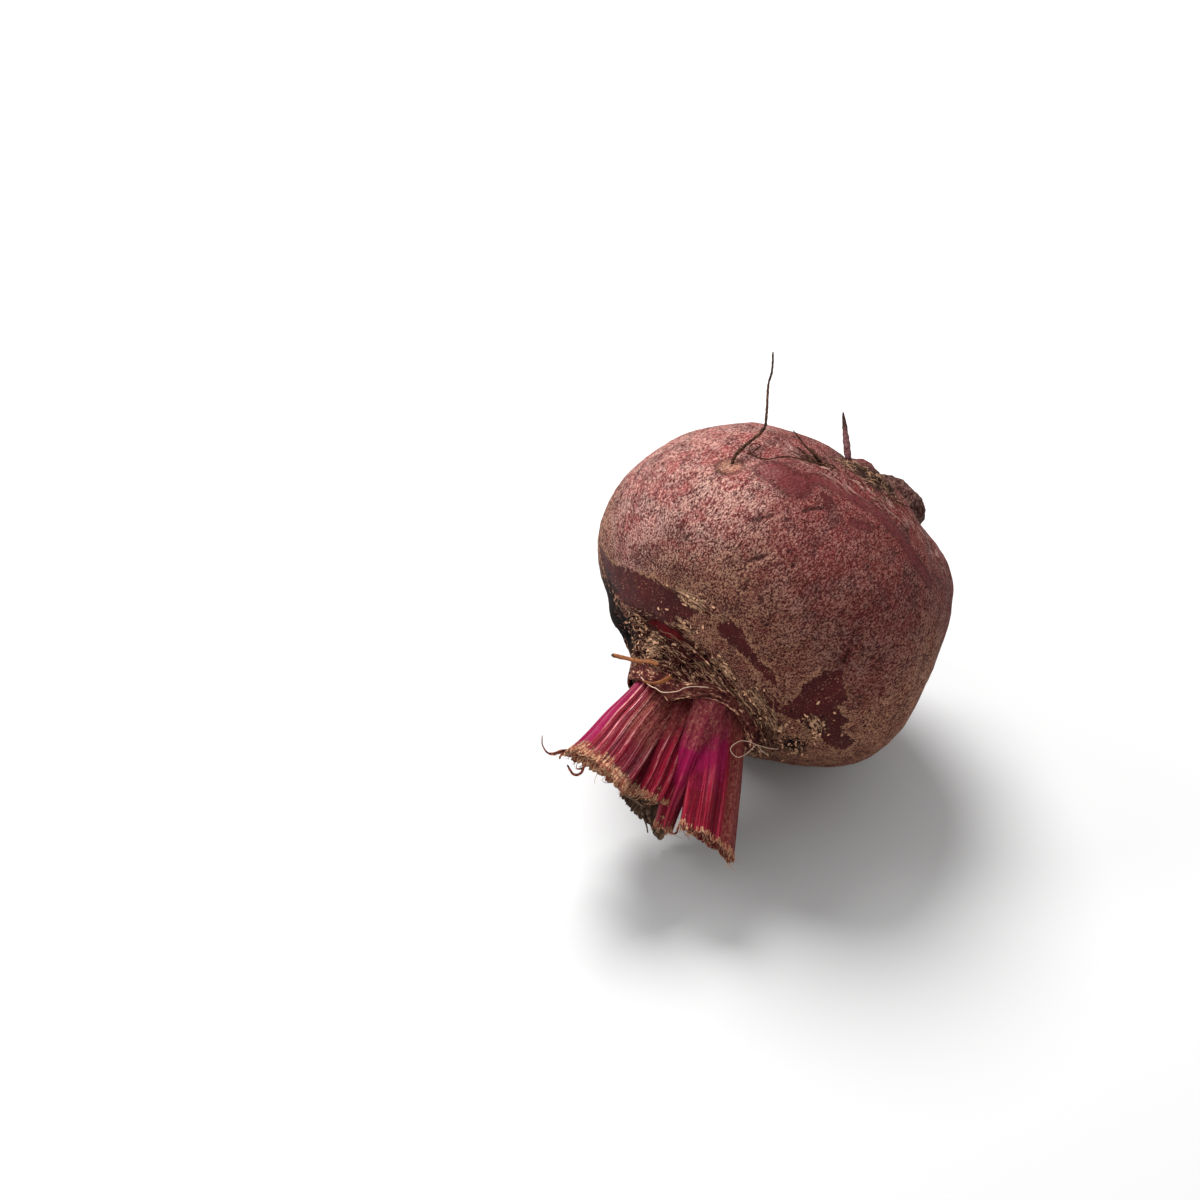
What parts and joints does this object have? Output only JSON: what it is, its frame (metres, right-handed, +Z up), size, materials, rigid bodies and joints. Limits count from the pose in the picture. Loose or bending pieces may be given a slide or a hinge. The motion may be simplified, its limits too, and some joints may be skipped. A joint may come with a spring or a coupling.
{
  "type": "beetroot",
  "caption": "Whole raw beetroot lying on its side: a round, slightly crooked root with a corky neck, leaf stalks cut off short, a broken tap root and thin side roots.",
  "frame": {"origin": "middle of the small flat spot under the globe that it rests on", "axes": "+Z up, -Y the way the crown and its cut stalks point (they also dip a little), +X to the right as seen from the crown"},
  "size_m": [0.0895, 0.1101, 0.093],
  "materials": {
    "skin": "rough, dusty, finely flecked skin, corky round the neck",
    "stalk": "ribbed, fleshy, faintly glossy",
    "young_stalk": "smooth, fleshy, faintly glossy",
    "withered_stalk": "dry, dull, wrinkled"
  },
  "bodies": {
    "root": {"root": "skin", "stalk_wide": "stalk", "stalk_ribbed": "stalk", "stalk_inner": "stalk", "stalk_narrow": "young_stalk", "stalk_withered": "withered_stalk", "stalk_left": "stalk", "stalk_back": "stalk", "stalk_under": "stalk", "bud_long": "young_stalk", "bud_short": "young_stalk"}
  },
  "joints": []
}
